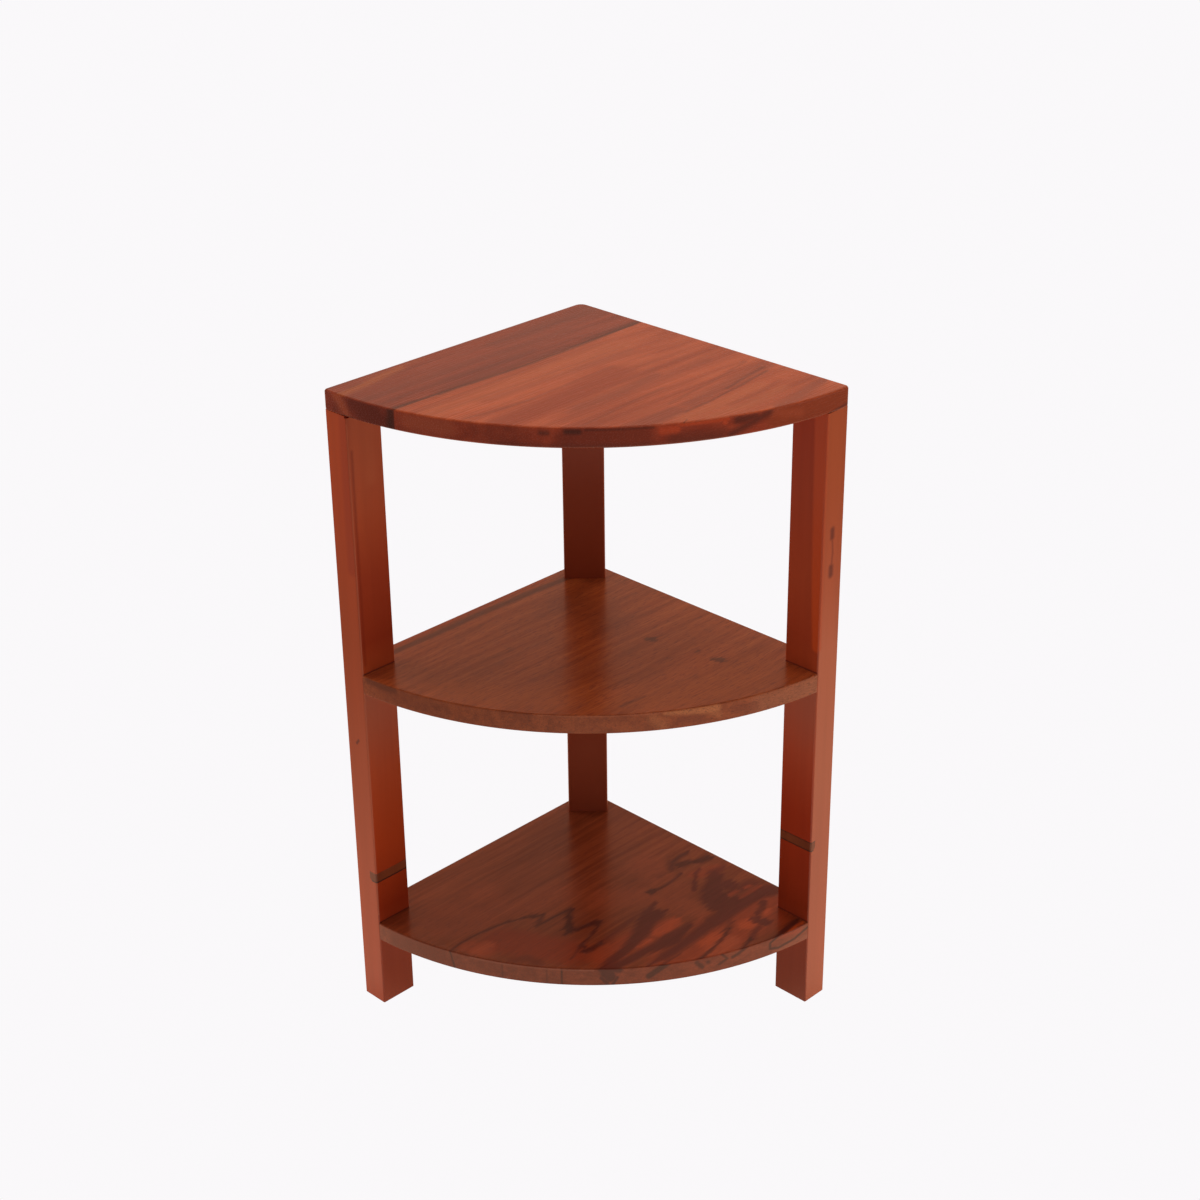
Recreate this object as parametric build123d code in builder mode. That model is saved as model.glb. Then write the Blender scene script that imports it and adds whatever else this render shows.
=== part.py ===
from build123d import *
import os
from math import sqrt

os.makedirs("parts", exist_ok=True)

# A three-tier corner rack. Left and right are as seen from the front, and sizes are in millimetres.
height = 610.0
left_side = 302.0
right_side = 314.0
arc_radius = 310.0
foot_height = 72.5

# The three panels
top_thickness = 18.0
shelf_thickness = 18.0
left_board_width = 79.0
back_corner_radius = 8.0
left_tip_radius = 3.5
right_tip_radius = 5.0
top_ease = 2.0
shelf_ease = 1.2

# The legs: a leg's width runs along the rack's straight side, its depth runs across it
leg_width = 37.0
leg_depth = 27.0
back_leg_width = 39.0
back_leg_depth = 26.5
back_leg_front = 41.5
leg_ease = 1.5
foot_chamfer = 1.0

# Strips that fill an old groove across the inner face of each front leg
filler_height = 10.0
filler_bevel = 3.0
left_filler_depth = 9.0
left_filler_level = 139.5
right_filler_depth = 6.0
right_filler_level = 172.0

# A chip missing from the left leg's top front corner
chip_length = 6.0
chip_depth = 2.5
chip_height = 1.6

# Blind dowels, glued into holes that are a little wider and deeper
dowel_diameter = 8.0
dowel_length = 30.0
dowel_chamfer = 1.0
dowel_spacing = 18.0
depth_in_top = 12.0
depth_in_shelf = 16.0
glue_gap = 0.15
end_gap = 0.6

# Heights that follow from the sizes above: the two bays are equally tall
leg_height = height - top_thickness
bay_height = (leg_height - foot_height - 2 * shelf_thickness) / 2
bottom_level = foot_height
middle_level = foot_height + shelf_thickness + bay_height

# The arc's centre, measured from the corner along the left side and along the right side
half_chord = sqrt(left_side**2 + right_side**2) / 2
centre_to_chord = sqrt(arc_radius**2 - half_chord**2)
centre_left = left_side / 2 - centre_to_chord * right_side / (2 * half_chord)
centre_right = right_side / 2 - centre_to_chord * left_side / (2 * half_chord)

# Each front leg ends where its front corner meets the arc
left_leg_end = centre_left + sqrt(arc_radius**2 - (leg_depth - centre_right) ** 2)
right_leg_end = centre_right + sqrt(arc_radius**2 - (leg_depth - centre_left) ** 2)

# Cutting shapes reach this far, past the whole rack
reach = 2 * arc_radius


def panel_face():
    with BuildLine() as outline:
        Line((0, 0), (left_side, 0))
        RadiusArc((left_side, 0), (0, right_side), -arc_radius)
        Line((0, right_side), (0, 0))
    make_face(outline.edges())
    fillet(vertices().sort_by_distance((0, 0))[0], back_corner_radius)
    fillet(vertices().sort_by_distance((left_side, 0))[0], left_tip_radius)
    fillet(vertices().sort_by_distance((0, right_side))[0], right_tip_radius)


def left_leg_face():
    with Locations((left_leg_end, 0)):
        RectangleRounded(leg_width, leg_depth, leg_ease, align=(Align.MAX, Align.MIN))


def right_leg_face():
    with Locations((0, right_leg_end)):
        RectangleRounded(leg_depth, leg_width, leg_ease, align=(Align.MIN, Align.MAX))


# The back leg stands square to the diagonal, its rear corners planed flush with the straight sides
def back_leg_face():
    rear = (back_leg_front - back_leg_depth) / sqrt(2)
    with Locations((rear, rear)):
        Rectangle(back_leg_depth, back_leg_width, rotation=45, align=(Align.MIN, Align.CENTER))
    Rectangle(reach, reach, align=(Align.MIN, Align.MIN), mode=Mode.INTERSECT)
    fillet(vertices(), leg_ease)


# The origin is on the floor under the middle of the rack. The front faces -Y, the corner points to +Y.
# In the plan, X runs from the corner along the left side and Y along the right side.
with BuildSketch(Plane(origin=(0, 0, 0), x_dir=(-1, -1, 0), z_dir=(0, 0, 1))) as footprint:
    panel_face()
    left_leg_face()
    right_leg_face()
extent = footprint.sketch.bounding_box()
corner = (-(extent.min.X + extent.max.X) / 2, -(extent.min.Y + extent.max.Y) / 2, 0)
plan = Plane(origin=corner, x_dir=(-1, -1, 0), z_dir=(0, 0, 1))
along_left = plan.x_dir
along_right = plan.y_dir
diagonal = (along_left + along_right).normalized()
up = Vector(0, 0, 1)


def place(left, right, level):
    return plan.from_local_coords(Vector(left, right, level))


# Every dowel sits across a joint face: its seat is a plane on that face, facing into the panel
dowel_seats = {}
for number, shift in enumerate((-dowel_spacing / 2, dowel_spacing / 2), start=1):
    on_left = left_leg_end - leg_width / 2 + shift
    on_right = right_leg_end - leg_width / 2 + shift
    middle_of_leg = back_leg_front - back_leg_depth / 2
    back_left = (middle_of_leg - shift) / sqrt(2)
    back_right = (middle_of_leg + shift) / sqrt(2)
    front_left = (back_leg_front - shift) / sqrt(2)
    front_right = (back_leg_front + shift) / sqrt(2)
    dowel_seats[f"left_top_dowel_{number}"] = Plane(place(on_left, leg_depth / 2, leg_height), z_dir=up)
    dowel_seats[f"right_top_dowel_{number}"] = Plane(place(leg_depth / 2, on_right, leg_height), z_dir=up)
    dowel_seats[f"back_top_dowel_{number}"] = Plane(place(back_left, back_right, leg_height), z_dir=up)
    for shelf, level in (("middle", middle_level), ("bottom", bottom_level)):
        mid = level + shelf_thickness / 2
        dowel_seats[f"left_{shelf}_dowel_{number}"] = Plane(place(on_left, leg_depth, mid), z_dir=along_right)
        dowel_seats[f"right_{shelf}_dowel_{number}"] = Plane(place(leg_depth, on_right, mid), z_dir=along_left)
        dowel_seats[f"back_{shelf}_dowel_{number}"] = Plane(place(front_left, front_right, mid), z_dir=diagonal)


def depth_in_panel(name):
    return depth_in_top if "_top_" in name else depth_in_shelf


def dowel_holes(word):
    hole_length = dowel_length + 2 * end_gap
    for name, seat in dowel_seats.items():
        if word in name:
            with Locations(seat.offset(depth_in_panel(name) - dowel_length / 2)):
                Cylinder(dowel_diameter / 2 + glue_gap, hole_length, mode=Mode.SUBTRACT)


def eased_panel(level, thickness, ease):
    with BuildSketch(plan.offset(level)) as outline:
        panel_face()
    extrude(outline.sketch, amount=thickness)
    fillet(edges().group_by(Axis.Z)[0] + edges().group_by(Axis.Z)[-1], ease)


# A shelf is notched round all three legs
def shelf_panel(level, word):
    eased_panel(level, shelf_thickness, shelf_ease)
    with BuildSketch(plan.offset(level)) as notches:
        with Locations((left_leg_end - leg_width, leg_depth)):
            Rectangle(reach, reach, align=(Align.MIN, Align.MAX))
        with Locations((leg_depth, right_leg_end - leg_width)):
            Rectangle(reach, reach, align=(Align.MAX, Align.MIN))
        with Locations((back_leg_front / sqrt(2), back_leg_front / sqrt(2))):
            Rectangle(reach, back_leg_width, rotation=45, align=(Align.MAX, Align.CENTER))
    extrude(notches.sketch, amount=shelf_thickness, mode=Mode.SUBTRACT)
    dowel_holes(word)


def leg_blank(leg_face):
    with BuildSketch(plan) as section:
        leg_face()
    extrude(section.sketch, amount=leg_height)
    chamfer(edges().group_by(Axis.Z)[0], foot_chamfer)


# The groove runs right across a leg's inner face, with its lower inside corner bevelled
def groove(face_point, inward, depth, mode):
    with BuildSketch(Plane(face_point, x_dir=inward, z_dir=inward.cross(up))) as section:
        with BuildLine() as outline:
            Polyline(
                (-leg_width, -filler_height / 2),
                (depth - filler_bevel, -filler_height / 2),
                (depth, filler_bevel - filler_height / 2),
                (depth, filler_height / 2),
                (-leg_width, filler_height / 2),
                close=True,
            )
        make_face(outline.edges())
    extrude(section.sketch, amount=reach, both=True, mode=mode)


left_face_point = place(left_leg_end, leg_depth, left_filler_level)
right_face_point = place(leg_depth, right_leg_end, right_filler_level)
glue_plane = Plane(place(0, left_board_width, 0), z_dir=along_right)

with BuildPart() as top_left_board:
    eased_panel(leg_height, top_thickness, top_ease)
    split(bisect_by=glue_plane, keep=Keep.BOTTOM)
    dowel_holes("_top_")
top_left_board.part.label = "top_left_board"
export_step(top_left_board.part, "parts/top_left_board.step")

with BuildPart() as top_right_board:
    eased_panel(leg_height, top_thickness, top_ease)
    split(bisect_by=glue_plane, keep=Keep.TOP)
    dowel_holes("_top_")
top_right_board.part.label = "top_right_board"
export_step(top_right_board.part, "parts/top_right_board.step")

with BuildPart() as middle_shelf:
    shelf_panel(middle_level, "_middle_")
middle_shelf.part.label = "middle_shelf"
export_step(middle_shelf.part, "parts/middle_shelf.step")

with BuildPart() as bottom_shelf:
    shelf_panel(bottom_level, "_bottom_")
bottom_shelf.part.label = "bottom_shelf"
export_step(bottom_shelf.part, "parts/bottom_shelf.step")

with BuildPart() as left_leg:
    leg_blank(left_leg_face)
    groove(left_face_point, -along_right, left_filler_depth, Mode.SUBTRACT)
    with Locations(Plane(place(left_leg_end, leg_depth, leg_height), x_dir=along_left, z_dir=up)):
        Box(2 * chip_length, 2 * chip_depth, 2 * chip_height, mode=Mode.SUBTRACT)
    dowel_holes("left_")
left_leg.part.label = "left_leg"
export_step(left_leg.part, "parts/left_leg.step")

with BuildPart() as right_leg:
    leg_blank(right_leg_face)
    groove(right_face_point, -along_left, right_filler_depth, Mode.SUBTRACT)
    dowel_holes("right_")
right_leg.part.label = "right_leg"
export_step(right_leg.part, "parts/right_leg.step")

with BuildPart() as back_leg:
    leg_blank(back_leg_face)
    dowel_holes("back_")
back_leg.part.label = "back_leg"
export_step(back_leg.part, "parts/back_leg.step")

with BuildPart() as left_leg_filler:
    leg_blank(left_leg_face)
    groove(left_face_point, -along_right, left_filler_depth, Mode.INTERSECT)
left_leg_filler.part.label = "left_leg_filler"
export_step(left_leg_filler.part, "parts/left_leg_filler.step")

with BuildPart() as right_leg_filler:
    leg_blank(right_leg_face)
    groove(right_face_point, -along_left, right_filler_depth, Mode.INTERSECT)
right_leg_filler.part.label = "right_leg_filler"
export_step(right_leg_filler.part, "parts/right_leg_filler.step")

for name, seat in dowel_seats.items():
    with BuildPart() as dowel:
        with Locations(seat.offset(depth_in_panel(name) - dowel_length / 2)):
            Cylinder(dowel_diameter / 2, dowel_length)
        chamfer(dowel.edges().filter_by(GeomType.CIRCLE), dowel_chamfer)
    dowel.part.label = name
    export_step(dowel.part, f"parts/{name}.step")

print("corner of the two straight sides:", corner)
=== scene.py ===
import math

import bpy
from mathutils import Matrix, Vector


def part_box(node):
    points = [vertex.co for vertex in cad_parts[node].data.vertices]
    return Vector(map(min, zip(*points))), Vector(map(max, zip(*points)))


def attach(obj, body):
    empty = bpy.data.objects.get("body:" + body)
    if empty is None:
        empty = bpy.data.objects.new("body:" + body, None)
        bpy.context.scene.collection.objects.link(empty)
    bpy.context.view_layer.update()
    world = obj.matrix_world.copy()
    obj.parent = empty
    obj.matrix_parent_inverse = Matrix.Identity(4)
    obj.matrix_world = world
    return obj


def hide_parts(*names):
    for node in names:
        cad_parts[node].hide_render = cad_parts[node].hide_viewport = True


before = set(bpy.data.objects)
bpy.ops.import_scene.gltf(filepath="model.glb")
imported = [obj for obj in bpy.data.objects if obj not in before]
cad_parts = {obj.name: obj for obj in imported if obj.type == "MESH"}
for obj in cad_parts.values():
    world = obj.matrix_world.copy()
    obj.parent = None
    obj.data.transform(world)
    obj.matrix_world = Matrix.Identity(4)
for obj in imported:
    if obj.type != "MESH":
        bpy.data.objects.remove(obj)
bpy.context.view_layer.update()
scene = bpy.context.scene

# The plan: u runs from the back corner along the left side, v along the right side, both in millimetres
rack = {
    "corner": (-0.003869, 0.1552885),   # where the two straight sides would meet, in metres
    "leftSide": 302.0,
    "rightSide": 314.0,
    "arcRadius": 310.0,
    "legWidth": 37.0,
    "legDepth": 27.0,
    "backLegWidth": 39.0,
    "backLegFront": 41.5,
}
mm = 0.001
slope = math.sqrt(0.5)
planTurn = math.radians(135.0)      # from the rack's frame to the plan's
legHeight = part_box("left_leg")[1][2] / mm

# The arc's centre as (u, v), and the front ends of the two front legs
halfChord = math.hypot(rack["leftSide"], rack["rightSide"]) / 2
centreToChord = math.sqrt(rack["arcRadius"] ** 2 - halfChord ** 2)
arcCentre = (rack["leftSide"] / 2 - centreToChord * rack["rightSide"] / (2 * halfChord),
             rack["rightSide"] / 2 - centreToChord * rack["leftSide"] / (2 * halfChord))
leftLegEnd = arcCentre[0] + math.sqrt(rack["arcRadius"] ** 2 - (rack["legDepth"] - arcCentre[1]) ** 2)
rightLegEnd = arcCentre[1] + math.sqrt(rack["arcRadius"] ** 2 - (rack["legDepth"] - arcCentre[0]) ** 2)


def place(u, v, z=0.0):
    x = rack["corner"][0] + slope * (v - u) * mm
    y = rack["corner"][1] - slope * (u + v) * mm
    return Vector((x, y, z * mm))


# Camera
cameraSetup = {
    "place": (0.002604, -1.746686, 1.248622),
    "turn": -0.237,      # degrees about the vertical
    "tilt": 63.645,      # degrees up from straight down
    "roll": -0.641,
    "lens": 65.256,
}


def makeCamera():
    data = bpy.data.cameras.new("photoCamera")
    data.lens = cameraSetup["lens"]
    data.sensor_width = 36.0
    data.clip_end = 60.0
    camera = bpy.data.objects.new("photoCamera", data)
    scene.collection.objects.link(camera)
    turn = Matrix.Rotation(math.radians(cameraSetup["turn"]), 4, "Z")
    tilt = Matrix.Rotation(math.radians(cameraSetup["tilt"]), 4, "X")
    roll = Matrix.Rotation(math.radians(cameraSetup["roll"]), 4, "Z")
    camera.matrix_world = Matrix.Translation(cameraSetup["place"]) @ turn @ tilt @ roll
    scene.camera = camera


makeCamera()
print("camera set")


# Small helpers for node trees
def addNode(tree, kind, **settings):
    node = tree.nodes.new(kind)
    for name, value in settings.items():
        setattr(node, name, value)
    return node


def feed(tree, node, values):
    for name, value in values.items():
        socket = node.inputs[name]
        if isinstance(value, bpy.types.NodeSocket):
            tree.links.new(value, socket)
        else:
            socket.default_value = value


def mathNode(tree, operation, *values):
    node = addNode(tree, "ShaderNodeMath", operation=operation)
    feed(tree, node, dict(enumerate(values)))
    return node.outputs[0]


def vectorNode(tree, operation, *values):
    node = addNode(tree, "ShaderNodeVectorMath", operation=operation)
    feed(tree, node, dict(enumerate(values)))
    return node.outputs["Value" if operation in ("DOT_PRODUCT", "LENGTH", "DISTANCE") else "Vector"]


def scaleVector(tree, vector, factor):
    node = addNode(tree, "ShaderNodeVectorMath", operation="SCALE")
    feed(tree, node, {"Vector": vector, "Scale": factor})
    return node.outputs["Vector"]


def mixColour(tree, factor, first, second, blend="MIX"):
    node = addNode(tree, "ShaderNodeMix", data_type="RGBA", blend_type=blend)
    feed(tree, node, {0: factor, 6: opaque(first), 7: opaque(second)})
    return node.outputs[2]


def mapRange(tree, value, low, high, toLow=0.0, toHigh=1.0, smooth=True):
    node = addNode(tree, "ShaderNodeMapRange", interpolation_type="SMOOTHSTEP" if smooth else "LINEAR")
    feed(tree, node, {"Value": value, "From Min": low, "From Max": high, "To Min": toLow, "To Max": toHigh})
    return node.outputs["Result"]


def noiseNode(tree, vector, detail=2.0, rough=0.5):
    node = addNode(tree, "ShaderNodeTexNoise")
    feed(tree, node, {"Vector": vector, "Scale": 1.0, "Detail": detail, "Roughness": rough})
    return node


noiseMiddle = (0.5, 0.5, 0.5)


def newGroup(name, inputs, outputs):
    tree = bpy.data.node_groups.new(name, "ShaderNodeTree")
    for socketName, kind, default in inputs:
        socket = tree.interface.new_socket(socketName, in_out="INPUT", socket_type=kind)
        if default is not None:
            socket.default_value = default
    for socketName, kind in outputs:
        tree.interface.new_socket(socketName, in_out="OUTPUT", socket_type=kind)
    return tree, tree.nodes.new("NodeGroupInput"), tree.nodes.new("NodeGroupOutput")


def opaque(tone):
    # Colours are written as (red, green, blue); a socket stays as it is
    return (*tone, 1.0) if isinstance(tone, tuple) else tone


# Shared shader groups
strokeFade = (-0.5, 1.0)    # from full to nothing, in blurs outside the stroke's width


def makeStrokeGroup():
    # One straight length of a vein, knot or stain: full inside its half width, fading out over its blur
    tree, given, made = newGroup(
        "figureStroke",
        [("Point", "NodeSocketVector", None), ("Start", "NodeSocketVector", None),
         ("Run", "NodeSocketVector", None), ("Start Width", "NodeSocketFloat", 1.0),
         ("End Width", "NodeSocketFloat", 1.0), ("Blur", "NodeSocketFloat", 1.0),
         ("Strength", "NodeSocketFloat", 1.0), ("So Far", "NodeSocketFloat", 0.0)],
        [("Mask", "NodeSocketFloat")])
    fromStart = vectorNode(tree, "SUBTRACT", given.outputs["Point"], given.outputs["Start"])
    run = given.outputs["Run"]
    along = mathNode(tree, "DIVIDE", vectorNode(tree, "DOT_PRODUCT", fromStart, run),
                     vectorNode(tree, "DOT_PRODUCT", run, run))
    # Two plain steps keep it between 0 and 1, as a clamp here fills Cycles' memory
    along = mathNode(tree, "MINIMUM", mathNode(tree, "MAXIMUM", along, 0.0), 1.0)
    off = vectorNode(tree, "LENGTH", vectorNode(tree, "SUBTRACT", fromStart, scaleVector(tree, run, along)))
    change = mathNode(tree, "SUBTRACT", given.outputs["End Width"], given.outputs["Start Width"])
    width = mathNode(tree, "MULTIPLY_ADD", along, change, given.outputs["Start Width"])
    outside = mathNode(tree, "DIVIDE", mathNode(tree, "SUBTRACT", off, width), given.outputs["Blur"])
    fade = mapRange(tree, outside, *strokeFade, 1.0, 0.0)
    strong = mathNode(tree, "MULTIPLY", fade, given.outputs["Strength"])
    tree.links.new(mathNode(tree, "MAXIMUM", strong, given.outputs["So Far"]), made.inputs["Mask"])
    return tree


# The grain's noises: how often each repeats per millimetre along the grain and across it
grainNoise = {
    "slow": (0.005, 0.012, 0.012),      # the wander of all the lines
    "wanderReach": 4.0,
    "bands": (0.045, 1.0, 1.0),         # per band width
    "fibres": (0.012, 0.75, 0.75),
    "pores": (0.11, 1.3, 1.3),
    "mottle": (0.03, 0.05, 0.05),
    "noPores": 0.78,                    # the noise has to pass this for a pore
    "poreGain": 0.16,                   # and less, by this share of the pore amount
    "poreEdge": 0.08,
    "narrow": (0.3, 0.7),               # the part of a noise's range that is used
    "wide": (0.25, 0.75),
}


def makeGrainGroup():
    # Wood grain along the first axis of Point, in millimetres
    tree, given, made = newGroup(
        "woodGrain",
        [("Point", "NodeSocketVector", None), ("Band Width", "NodeSocketFloat", 12.0),
         ("Wander", "NodeSocketFloat", 5.0), ("Pore Amount", "NodeSocketFloat", 0.5)],
        [("Bands", "NodeSocketFloat"), ("Fibres", "NodeSocketFloat"), ("Pores", "NodeSocketFloat"),
         ("Mottle", "NodeSocketFloat")])
    point = given.outputs["Point"]
    slow = noiseNode(tree, vectorNode(tree, "MULTIPLY", point, grainNoise["slow"]), detail=1.5)
    shift = vectorNode(tree, "SUBTRACT", slow.outputs["Color"], noiseMiddle)
    reach = mathNode(tree, "MULTIPLY", given.outputs["Wander"], grainNoise["wanderReach"])
    shift = scaleVector(tree, shift, reach)
    wandering = vectorNode(tree, "ADD", point, vectorNode(tree, "MULTIPLY", shift, (0.0, 1.0, 1.0)))
    perBand = mathNode(tree, "DIVIDE", 1.0, given.outputs["Band Width"])
    bandPoint = scaleVector(tree, vectorNode(tree, "MULTIPLY", wandering, grainNoise["bands"]), perBand)
    bands = noiseNode(tree, bandPoint, detail=3.0, rough=0.62)
    tree.links.new(mapRange(tree, bands.outputs["Fac"], *grainNoise["narrow"]), made.inputs["Bands"])
    fibrePoint = vectorNode(tree, "MULTIPLY", wandering, grainNoise["fibres"])
    fibres = noiseNode(tree, fibrePoint, detail=3.0, rough=0.7)
    tree.links.new(mapRange(tree, fibres.outputs["Fac"], *grainNoise["wide"]), made.inputs["Fibres"])
    pores = noiseNode(tree, vectorNode(tree, "MULTIPLY", wandering, grainNoise["pores"]), detail=1.0)
    gain = mathNode(tree, "MULTIPLY", given.outputs["Pore Amount"], grainNoise["poreGain"])
    poreLine = mathNode(tree, "SUBTRACT", grainNoise["noPores"], gain)
    over = mathNode(tree, "SUBTRACT", pores.outputs["Fac"], poreLine)
    tree.links.new(mapRange(tree, over, 0.0, grainNoise["poreEdge"]), made.inputs["Pores"])
    mottle = noiseNode(tree, vectorNode(tree, "MULTIPLY", point, grainNoise["mottle"]), detail=3.0)
    tree.links.new(mapRange(tree, mottle.outputs["Fac"], *grainNoise["narrow"]), made.inputs["Mottle"])
    return tree


strokeGroup = makeStrokeGroup()
grainGroup = makeGrainGroup()


def useGroup(tree, group, values):
    node = addNode(tree, "ShaderNodeGroup", node_tree=group)
    feed(tree, node, values)
    return node


# The wood materials
fibreHeight = 0.25      # how far the fibres rise, in pore depths
poreDrop = 0.2 * mm     # how deep the pores are


def drawStrokes(tree, point, strokes, spot):
    # Each stroke: its points, half width or (first, last), blur and strength
    # spot turns a point into the pattern's space
    mask = 0.0
    for path, width, blur, strength in strokes:
        first, last = width if isinstance(width, tuple) else (width, width)
        corners = [Vector(spot(*corner)) for corner in path]
        if len(corners) == 1:
            corners.append(corners[0] + Vector((0.01, 0.0, 0.0)))
        count = len(corners) - 1
        for index in range(count):
            step = useGroup(tree, strokeGroup, {
                "Point": point, "Start": corners[index], "Run": corners[index + 1] - corners[index],
                "Start Width": first + (last - first) * index / count,
                "End Width": first + (last - first) * (index + 1) / count,
                "Blur": blur, "Strength": strength, "So Far": mask})
            mask = step.outputs["Mask"]
    return mask


def planPoint(tree, level):
    # Object coordinates turned into u, v and height above the level, in millimetres
    coordinates = tree.nodes.new("ShaderNodeTexCoord").outputs["Object"]
    plan = addNode(tree, "ShaderNodeMapping", vector_type="POINT")
    origin = Matrix.Rotation(planTurn, 3, "Z") @ (place(0.0, 0.0) / mm)
    feed(tree, plan, {"Vector": coordinates, "Scale": (1 / mm, 1 / mm, 1 / mm),
                      "Rotation": (0.0, 0.0, planTurn), "Location": (-origin.x, -origin.y, -level)})
    return plan.outputs["Vector"]


def splitVector(tree, vector):
    parts = addNode(tree, "ShaderNodeSeparateXYZ")
    feed(tree, parts, {"Vector": vector})
    return parts.outputs["X"], parts.outputs["Y"], parts.outputs["Z"]


def joinVector(tree, x, y, z=0.0):
    joined = addNode(tree, "ShaderNodeCombineXYZ")
    feed(tree, joined, {"X": x, "Y": y, "Z": z})
    return joined.outputs["Vector"]


def baseWood(tree, grainPoint, look):
    grain = useGroup(tree, grainGroup, {"Point": vectorNode(tree, "ADD", grainPoint, look["seed"]),
                                        "Band Width": look["bandWidth"], "Wander": look["wander"],
                                        "Pore Amount": look["pores"]})
    shade = mathNode(tree, "MULTIPLY", grain.outputs["Bands"], look["bandContrast"])
    tone = mixColour(tree, shade, look["light"], look["dark"])
    patches = mathNode(tree, "MULTIPLY", grain.outputs["Mottle"], look["mottle"])
    return mixColour(tree, patches, tone, look["tint"]), grain


def finishWood(tree, tone, grain, look):
    fibres, pores = grain.outputs["Fibres"], grain.outputs["Pores"]
    dim = mapRange(tree, fibres, 0.0, 1.0, 1.0 - look["fibres"], 1.0 + look["fibres"], smooth=False)
    tone = mixColour(tree, 1.0, tone, dim, "MULTIPLY")
    tone = mixColour(tree, mathNode(tree, "MULTIPLY", pores, look["poreDepth"]), tone, look["poreColour"])
    rough = mapRange(tree, fibres, 0.0, 1.0, look["rough"] - look["roughSpread"],
                     look["rough"] + look["roughSpread"])
    height = mathNode(tree, "SUBTRACT", mathNode(tree, "MULTIPLY", fibres, fibreHeight), pores)
    relief = addNode(tree, "ShaderNodeBump")
    feed(tree, relief, {"Strength": look["relief"], "Distance": poreDrop, "Height": height})
    surface = addNode(tree, "ShaderNodeBsdfPrincipled")
    feed(tree, surface, {"Base Color": tone, "Roughness": rough, "Normal": relief.outputs["Normal"]})
    tree.links.new(surface.outputs["BSDF"], tree.nodes.new("ShaderNodeOutputMaterial").inputs["Surface"])


def newWood(name):
    material = bpy.data.materials.new(name)
    material.use_nodes = True
    material.node_tree.nodes.clear()
    return material, material.node_tree


def tonesByHeight(tree, height, tones):
    # tones: (height, colour) from the foot up, blended evenly between one and the next
    ramp = addNode(tree, "ShaderNodeValToRGB")
    stops = ramp.color_ramp.elements
    while len(stops) < len(tones):
        stops.new(0.5)
    for stop, (level, tone) in zip(stops, tones):
        stop.position, stop.color = level / legHeight, opaque(tone)
    feed(tree, ramp, {"Fac": mathNode(tree, "DIVIDE", height, legHeight)})
    return ramp.outputs["Color"]


rimMask = {"outside": (-8.0, -5.0), "upright": (0.35, 0.95)}     # millimetres off the arc, the normal's rise
feather = (0.03, 0.35, 0.0)


def panelWood(name, look, level):
    # level is the panel's upper face; the grain runs along u
    # The figure goes straight down through the board
    material, tree = newWood(name)
    point = planPoint(tree, level)
    tone, grain = baseWood(tree, point, look)
    u, v, height = splitVector(tree, point)
    # The rim is the upright face along the arc
    normal = tree.nodes.new("ShaderNodeNewGeometry").outputs["Normal"]
    across = mathNode(tree, "SUBTRACT", v, arcCentre[1])
    along = mathNode(tree, "SUBTRACT", u, arcCentre[0])
    roundArc = mathNode(tree, "MULTIPLY", mathNode(tree, "ARCTAN2", across, along), rack["arcRadius"])
    away = vectorNode(tree, "LENGTH", joinVector(tree, along, across))
    outside = mapRange(tree, away, *(rack["arcRadius"] + step for step in rimMask["outside"]))
    flat = mathNode(tree, "ABSOLUTE", splitVector(tree, normal)[2])
    upright = mapRange(tree, flat, *rimMask["upright"], 1.0, 0.0)
    rim = mathNode(tree, "MULTIPLY", outside, upright)
    offRim = mathNode(tree, "SUBTRACT", 1.0, rim)
    # The figure's edges feather along the grain
    ragged = noiseNode(tree, vectorNode(tree, "MULTIPLY", point, feather), detail=3.0, rough=0.6)
    ragged = vectorNode(tree, "SUBTRACT", ragged.outputs["Color"], noiseMiddle)
    ragged = vectorNode(tree, "MULTIPLY", ragged, look["ragged"])
    strokePoint = vectorNode(tree, "ADD", joinVector(tree, u, v), ragged)
    for strokeColour, strokes in look["figure"]:
        mask = drawStrokes(tree, strokePoint, strokes, lambda v, u: (u, v, 0.0))
        tone = mixColour(tree, mathNode(tree, "MULTIPLY", mask, offRim), tone, strokeColour)
    # The rim's own marks, at degrees round the arc from the left and heights above the floor
    ends = mixColour(tree, rim, (1.0, 1.0, 1.0), look["rimColour"])
    tone = mixColour(tree, 1.0, tone, ends, "MULTIPLY")
    rimPoint = joinVector(tree, roundArc, mathNode(tree, "ADD", height, level))
    perDegree = math.radians(rack["arcRadius"])
    for strokeColour, strokes in look["rimFigure"]:
        mask = drawStrokes(tree, rimPoint, strokes, lambda angle, z: (angle * perDegree, z, 0.0))
        tone = mixColour(tree, mathNode(tree, "MULTIPLY", mask, rim), tone, strokeColour)
    finishWood(tree, tone, grain, look)
    return material


faceMask = (0.2, 1.6)                           # millimetres off a leg's face
faceShade = {"plain": 1.1, "banded": -0.3}      # how the grain shades a face's own tones


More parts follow.
